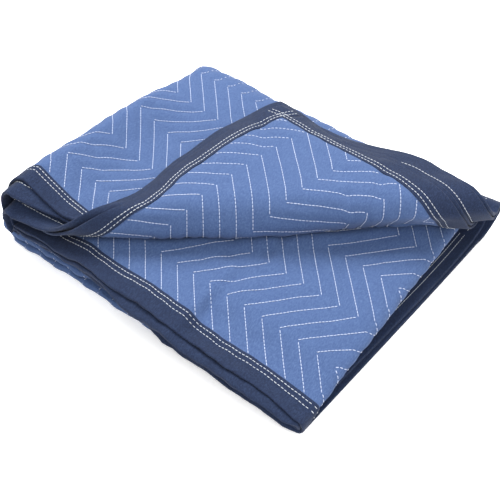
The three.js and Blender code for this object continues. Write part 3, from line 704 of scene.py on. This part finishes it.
def quilted_panel(material):
    """The panel, and the grid of its outer face for the sewing."""
    columns = spread(np.insert(MARKS, 1, COVERED_TOP), PANEL_STEPS.values())
    depth_marks = np.array([0, BACK, BACK + BACK_ARC, RIBBON])
    ply_a, ply_b = spread(depth_marks, PLY_A_STEPS.values()), spread(depth_marks, PLY_B_STEPS.values())
    crease = spread(np.array([-CREASE_HALF, CREASE_HALF]), [CREASE_STEP])
    rows = np.concatenate([ply_a - DEPTH, crease[1:-1], (DEPTH - ply_b)[::-1]])
    w, l = np.meshgrid(columns, rows, indexing="ij")
    depth = DEPTH - np.abs(l)
    inset = np.minimum(np.minimum(w, WIDTH - w), depth)
    free = grow(inset, PUFF_GROWS)
    padding = PUFF * puff_at(w, depth) - GROOVE + uneven(flat_x(w), flat_y(w, depth), PANEL_NOISE)
    half = mix(PRESSED_HALF, PLY / 2, free)
    raised = half + free * np.where(l < -CREASE_HALF, padding, 0)
    outer = place(w, l, raised)
    fine_columns = [MARKS[fold:fold + 2] for fold in (OUTER_FOLD, RIGHT_FOLD, INNER_FOLD)]
    back = DEPTH - BACK
    fine_rows = [
        (-DEPTH, FINE_RIM - DEPTH),
        (-back, BACK_ARC - back),
        (-FINE_CREASE, FINE_CREASE),
        (back - BACK_ARC, DEPTH),
    ]
    kept_columns, kept_rows = kept(columns, fine_columns), kept(rows, fine_rows)
    picked = np.ix_(kept_columns, kept_rows)
    inner = place(w[picked], l[picked], -half[picked])
    points, faces = sheet_mesh(outer, inner, kept_columns, kept_rows, True)
    return mesh_object("quilted_cloth", points, faces, material), (columns, rows, raised)


def tape_section(t, m):
    """Inset and height of the tape, t from one inner edge over the fold to the other."""
    angle = math.pi / 2 * np.clip(t / FOLD_HALF, -1, 1)
    radius = TAPE_MID + m
    inset = np.maximum(0, np.abs(t) - FOLD_HALF) - TAPE_LIP - radius * np.maximum(0, np.cos(angle))
    return inset, radius * np.sin(angle)


def tape(name, along, to_cloth, material, flip):
    """A strip folded over one edge of the cloth."""
    bend = np.linspace(-FOLD_HALF, FOLD_HALF, TAPE_BENDS)
    t = np.concatenate([-FOLD_HALF - TAPE_LINES[::-1], bend, FOLD_HALF + TAPE_LINES])
    a, t_grid = np.meshgrid(along, t, indexing="ij")
    sway = PUCKER["sway"] * np.sin(a / PUCKER["sway_length"])
    pucker = PUCKER["height"] * np.sin(a * 2 * math.pi / PUCKER["length"] + sway)
    pucker += uneven(a, TAPE_STRETCH * t_grid, TAPE_NOISE)
    from_fold = np.clip((np.abs(t_grid) - FOLD_HALF) / PUCKER_FROM_FOLD, 0, 1)
    from_lip = np.clip((TAPE_REACH - np.abs(t_grid)) / PUCKER_FROM_LIP, 0, 1)
    outer = to_cloth(a, *tape_section(t_grid, TAPE_HALF + from_fold * from_lip * pucker))
    inner = to_cloth(a, *tape_section(t_grid, -TAPE_HALF))
    points, faces = sheet_mesh(outer, inner, np.arange(len(along)), np.arange(len(t)), flip)
    return mesh_object(name, points, faces, material)


def edge_place(inner):
    ply = 1 if inner else -1
    return lambda w, inset, n: place(w, ply * (DEPTH - inset), n)


def end_place(upper):
    return lambda l, inset, n: place(inset if upper else WIDTH - inset, l, n)


def edge_columns():
    return spread(MARKS, EDGE_STEPS.values())


def end_rows():
    reach = DEPTH - BINDING_WIDTH - END_CLEAR
    marks = np.array([-reach, BACK - DEPTH, BACK + BACK_ARC - DEPTH, -CREASE_HALF])
    half = spread(marks, END_STEPS.values())
    crease = spread(np.array([-CREASE_HALF, CREASE_HALF]), [CREASE_STEP])
    return np.concatenate([half, crease[1:-1], -half[::-1]])


def height_on(face, w, l):
    """Height of the meshed outer face over the middle of its cloth."""
    columns, rows, raised = face
    i = np.clip(np.searchsorted(columns, w) - 1, 0, len(columns) - 2)
    j = np.clip(np.searchsorted(rows, l) - 1, 0, len(rows) - 2)
    s = (w - columns[i]) / (columns[i + 1] - columns[i])
    t = (l - rows[j]) / (rows[j + 1] - rows[j])
    near, far = mix(raised[i, j], raised[i + 1, j], s), mix(raised[i, j + 1], raised[i + 1, j + 1], s)
    return mix(near, far, t)


def stitch_shape(look):
    """Points of one stitch, along, across and up from its middle, and its faces."""
    sides, sections = len(STITCH_RING), list(zip(*STITCH_SECTIONS.values()))
    points, faces = [], []
    for along, size, sunk in sections:
        across = size * np.cos(STITCH_RING) * look["width"] / 2
        up = (size * np.sin(STITCH_RING) - sunk) * look["height"] / 2
        points += [(along * look["length"], a, b) for a, b in zip(across, up)]
    for start in range(0, sides * (len(sections) - 1), sides):
        for i in range(sides):
            j = (i + 1) % sides
            faces.append([start + i, start + j, start + sides + j, start + sides + i])
    faces.append(list(range(sides))[::-1])
    faces.append(list(range(len(points) - sides, len(points))))
    return np.array(points), faces


def stitches(name, w, l, ahead_w, ahead_l, n, look, material):
    """Short threads lying on the cloth, each from a place and the place just ahead of it."""
    middle, ahead = place(w, l, n), place(w + ahead_w, l + ahead_l, n)
    above = place(w, l, n + np.where(n < 0, -AHEAD, AHEAD))
    forward = ahead - middle
    forward /= np.linalg.norm(forward, axis=1, keepdims=True)
    up = above - middle
    up -= forward * np.sum(up * forward, axis=1, keepdims=True)
    free = np.linalg.norm(up, axis=1) > LEAST_UP
    middle, forward, up = middle[free], forward[free], up[free]
    up /= np.linalg.norm(up, axis=1, keepdims=True)
    axes = np.stack([forward, np.cross(up, forward), up], 1)
    shape, faces = stitch_shape(look)
    points = middle[:, None] + shape @ axes
    starts = range(0, len(shape) * len(middle), len(shape))
    every = [[start + i for i in face] for start in starts for face in faces]
    return mesh_object(name, points.reshape(-1, 3), every, material)


# Quilting is sewn only where it can be seen
def on_top(x, y):
    covered = (x >= COVERED_X) & (y <= COVERED_Y)
    underneath = (y >= BACK + BACK_ARC) & (x >= UNDER_SHOWN)
    return (past_crease(x, y) < ROLL_START) & ~covered & ~underneath


def on_lower(x, y):
    return past_crease(x, y) > -SEWN_BEHIND


def on_flap(x, y):
    return past_crease(x, y) > ROLL_START - SEWN_BEHIND


def quilt_lines(corner, to_w, x_range, y_range, wanted):
    """Places of the stitches on one layer's zigzag lines, and the steps to the next one."""
    low_x, low_y = corner
    slope = QUILT_REACH / QUILT_HALF_WAVE
    rise = QUILT_STITCH["step"] / math.hypot(1, slope)
    first_line = math.floor((x_range[0] - low_x - QUILT_REACH) / QUILT_PITCH)
    last_line = math.ceil((x_range[1] - low_x) / QUILT_PITCH)
    first_wave = math.floor((y_range[0] - low_y) / QUILT_HALF_WAVE)
    last_wave = math.ceil((y_range[1] - low_y) / QUILT_HALF_WAVE)
    steps = np.arange(CORNER_FROM, QUILT_HALF_WAVE / rise - CORNER_CLEAR) * rise
    found = []
    for line in range(first_line, last_line + 1):
        for wave in range(first_wave, last_wave + 1):
            y = low_y + wave * QUILT_HALF_WAVE + steps
            x = low_x + line * QUILT_PITCH + zigzag(y, low_y)
            lean = slope if wave % 2 == 0 else -slope
            found.append((x, y, np.full_like(x, lean)))
    x, y, lean = np.concatenate(found, axis=1)
    keep = (x > x_range[0]) & (x < x_range[1]) & (y > y_range[0]) & (y < y_range[1]) & wanted(x, y)
    x, y, lean = x[keep], y[keep], lean[keep]
    w = to_w(x)
    set_back = flat_set(w)
    depth = np.where(y < BACK, (y - set_back) / (1 - set_back / BACK), y)
    step_w = to_w(x + AHEAD * lean) - w
    good = np.minimum(np.minimum(w, WIDTH - w), depth) > SEWN_FROM
    return w[good], (depth - DEPTH)[good], step_w[good], np.full(good.sum(), AHEAD)


def crease_stitches():
    """Ends of the quilting lines that show round the folded edge of the ribbon on the left."""
    found = []
    for to_w in (top_w, lower_w, flap_w):
        for line in np.arange(*CREASE_LINES, QUILT_PITCH):
            found += [(to_w(line), l, 0.0, AHEAD) for l in np.arange(*CREASE_ROW, QUILT_STITCH["step"])]
    return np.array(found).T


def tape_stitches():
    """Places of the stitches in the two rows of each tape, the steps to the next, and the heights."""
    rows = []
    on_tape = TAPE_MID + TAPE_HALF + TAPE_STITCH["lift"]
    for inset in TAPE_ROWS_INSET:
        w = np.arange(ROW_FROM, WIDTH - ROW_TO, TAPE_STITCH["step"])
        zero = np.zeros_like(w)
        rows.append((w, zero + inset - DEPTH, zero + AHEAD, zero, zero + on_tape))
        w = w[(flat_x(w) < RIM_SHOWN) & ((w < MARKS[HIDDEN]) | (w > MARKS[INNER_FOLD]))]
        zero = np.zeros_like(w)
        seen_side = np.where(w < MARKS[HIDDEN], -on_tape, on_tape)
        rows.append((w, zero + DEPTH - inset, zero + AHEAD, zero, seen_side))
        l = np.arange(ROW_FROM - DEPTH, DEPTH - ROW_TO, TAPE_STITCH["step"])
        drift = ROW_DRIFT * ease((DEPTH - np.abs(l) - BACK) / BACK_ARC)
        zero = np.zeros_like(l)
        upper = (inset - drift, l, zero, zero + AHEAD, zero + on_tape)
        lower = (WIDTH - inset + drift, l, zero, zero + AHEAD, zero + on_tape)
        rows.append([v[(l < 0) | (inset == TAPE_ROWS_INSET[1])] for v in upper])
        rows.append([v[l < 0] for v in lower])
    return [np.concatenate(v) for v in zip(*rows)]


def linear(red, green, blue):
    """Display colour, 0 to 255, as linear light."""
    def one(v):
        v /= 255
        return v / 12.92 if v <= 0.04045 else ((v + 0.055) / 1.055) ** 2.4

    return (one(red), one(green), one(blue), 1)


def fabric(name, look):
    """Matt cloth with a slanting mottle and a fine relief of threads."""
    material = bpy.data.materials.new(name)
    material.use_nodes = True
    nodes, links = material.node_tree.nodes, material.node_tree.links
    shader = nodes["Principled BSDF"]
    for setting, value in FINISH.items():
        shader.inputs[setting].default_value = value
    shader.inputs["Sheen Weight"].default_value = look["sheen"]
    where = nodes.new("ShaderNodeTexCoord")
    twill = nodes.new("ShaderNodeMapping")
    twill.inputs["Rotation"].default_value = (0, 0, TWILL_ANGLE)
    twill.inputs["Scale"].default_value = TWILL_SCALE
    links.new(where.outputs["Object"], twill.inputs["Vector"])
    cloudy = nodes.new("ShaderNodeTexNoise")
    cloudy.inputs["Scale"].default_value = look["mottle"]
    cloudy.inputs["Detail"].default_value = 6
    cloudy.inputs["Roughness"].default_value = 0.72
    links.new(twill.outputs["Vector"], cloudy.inputs["Vector"])
    tone = nodes.new("ShaderNodeValToRGB")
    dark, pale = tone.color_ramp.elements
    dark.position, dark.color = TONE_STOPS["dark"], linear(*look["dark"])
    pale.position, pale.color = TONE_STOPS["pale"], linear(*look["pale"])
    tone.color_ramp.elements.new(TONE_STOPS["plain"]).color = linear(*look["plain"])
    links.new(cloudy.outputs["Fac"], tone.inputs["Fac"])
    links.new(tone.outputs["Color"], shader.inputs["Base Color"])
    threads = nodes.new("ShaderNodeTexNoise")
    threads.inputs["Scale"].default_value = look["weave"]
    threads.inputs["Detail"].default_value = 2
    links.new(twill.outputs["Vector"], threads.inputs["Vector"])
    relief = nodes.new("ShaderNodeBump")
    relief.inputs["Strength"].default_value = look["bump"]
    relief.inputs["Distance"].default_value = RELIEF
    links.new(threads.outputs["Fac"], relief.inputs["Height"])
    links.new(relief.outputs["Normal"], shader.inputs["Normal"])
    return material


def soft_light(name, at, size, power):
    """A round light that points at the middle of the floor."""
    lamp = bpy.data.lights.new(name, "AREA")
    lamp.shape = "DISK"
    lamp.size = size
    lamp.energy = power
    holder = bpy.data.objects.new(name, lamp)
    holder.location = at
    tilt = math.acos(at[2] / np.linalg.norm(at))
    heading = math.atan2(-at[1], -at[0]) - math.pi / 2
    holder.rotation_euler = (tilt, 0, heading)
    bpy.context.scene.collection.objects.link(holder)


cloth = fabric("panel_cloth", CLOTH)
navy = fabric("binding_tape", NAVY)
quilt_thread = fabric("quilting_thread", QUILT_THREAD)
tape_thread = fabric("binding_thread", TAPE_THREAD)

panel, panel_face = quilted_panel(cloth)
edge_a = tape("edge_tape_a", edge_columns(), edge_place(False), navy, True)
edge_b = tape("edge_tape_b", edge_columns(), edge_place(True), navy, False)
end_a = tape("end_tape_a", end_rows(), end_place(True), navy, False)
end_b = tape("end_tape_b", end_rows(), end_place(False), navy, True)

top_lines = quilt_lines(QUILT_TOP, top_w, (END - MARKS[HIDDEN], END), (0, RIBBON), on_top)
lower_span = (LEFT_TOP, RIGHT_TOP + PARTS[RIGHT_FOLD])
lower_lines = quilt_lines(QUILT_LOWER, lower_w, lower_span, (0, BACK), on_lower)
flap_lines = quilt_lines(QUILT_FLAP, flap_w, (LEFT_TOP, END), (0, BACK), on_flap)
sewn = [np.concatenate(v) for v in zip(top_lines, lower_lines, flap_lines, crease_stitches())]
sewn_height = height_on(panel_face, *sewn[:2]) + QUILT_STITCH["lift"]
quilting = stitches("quilting_stitches", *sewn, sewn_height, QUILT_STITCH, quilt_thread)
seam = stitches("binding_stitches", *tape_stitches(), TAPE_STITCH, tape_thread)

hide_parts("quilted_panel")
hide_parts("edge_binding_a")
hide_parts("edge_binding_b")
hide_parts("end_binding_a")
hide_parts("end_binding_b")

# Floor, surroundings, lights and camera
floor_mesh = bpy.data.meshes.new("floor")
floor_corners = [(x * FLOOR_HALF, y * FLOOR_HALF, 0) for x, y in ((-1, -1), (1, -1), (1, 1), (-1, 1))]
floor_mesh.from_pydata(floor_corners, [], [(0, 1, 2, 3)])
floor = bpy.data.objects.new("floor", floor_mesh)
paper = bpy.data.materials.new("paper")
paper.use_nodes = True
for setting, value in PAPER.items():
    paper.node_tree.nodes["Principled BSDF"].inputs[setting].default_value = value
floor_mesh.materials.append(paper)
bpy.context.scene.collection.objects.link(floor)

world = bpy.data.worlds.new("studio")
world.use_nodes = True
sky, sky_links = world.node_tree.nodes, world.node_tree.links
sky_way = sky.new("ShaderNodeTexCoord")
sky_height = sky.new("ShaderNodeSeparateXYZ")
sky_tone = sky.new("ShaderNodeValToRGB")
sky_stops = sky_tone.color_ramp.elements
for stop, (at, grey) in zip(sky_stops, (SKY[0], SKY[-1])):
    stop.position, stop.color = at, (grey, grey, grey, 1)
for at, grey in SKY[1:-1]:
    sky_stops.new(at).color = (grey, grey, grey, 1)
sky_links.new(sky_way.outputs["Generated"], sky_height.inputs["Vector"])
sky_links.new(sky_height.outputs["Z"], sky_tone.inputs["Fac"])
sky_links.new(sky_tone.outputs["Color"], sky["Background"].inputs["Color"])
sky["Background"].inputs["Strength"].default_value = SKY_STRENGTH
bpy.context.scene.world = world
bpy.context.scene.view_settings.view_transform = "Standard"

for light in LIGHTS:
    soft_light(**light)

camera = bpy.data.objects.new("camera", bpy.data.cameras.new("camera"))
camera.location = to_frame(CAMERA_AT)
camera.rotation_euler = (math.pi / 2 - CAMERA_PITCH, 0, CAMERA_YAW)
camera.data.sensor_width = SENSOR
camera.data.lens = SENSOR * FOCAL_PIXELS / PICTURE_PIXELS
camera.data.clip_start = CLIP_START
bpy.context.scene.collection.objects.link(camera)
bpy.context.scene.camera = camera

bpy.context.view_layer.update()
